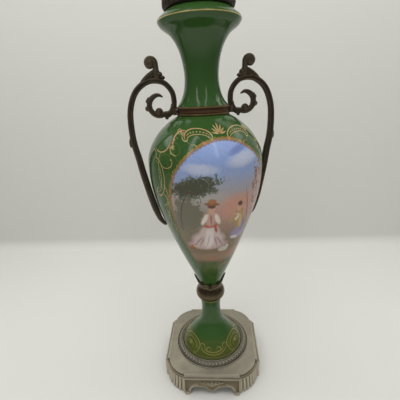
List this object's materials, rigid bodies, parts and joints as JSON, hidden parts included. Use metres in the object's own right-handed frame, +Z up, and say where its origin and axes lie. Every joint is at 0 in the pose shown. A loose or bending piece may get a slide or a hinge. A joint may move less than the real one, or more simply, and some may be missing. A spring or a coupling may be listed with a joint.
{
  "type": "mantel urn",
  "caption": "Tall porcelain baluster urn with bell foot and flared neck, in cast metal mounts with two open scroll handles, on a square base with rounded reeded corners.",
  "frame": {"origin": "on the table under the middle of the base", "axes": "+Z up along the urn's axis; the base's front side faces -Y; the handles stand in a plane turned 12.6 degrees from X towards +Y"},
  "size_m": [0.1936, 0.1558, 0.5616],
  "materials": {
    "green_porcelain": "high gloss green glaze with gilding and a painted panel",
    "dark_metal": "dark brown patina, satin, rubbed on the high places",
    "base_metal": "dull grey brass, satin, darker in the recesses"
  },
  "bodies": {
    "root": {"base": "base_metal", "foot": "green_porcelain", "knop": "dark_metal", "body": "green_porcelain", "collar": "dark_metal", "neck": "green_porcelain", "mouth_ring": "dark_metal", "handle_left": "dark_metal", "handle_right": "dark_metal"}
  },
  "joints": []
}
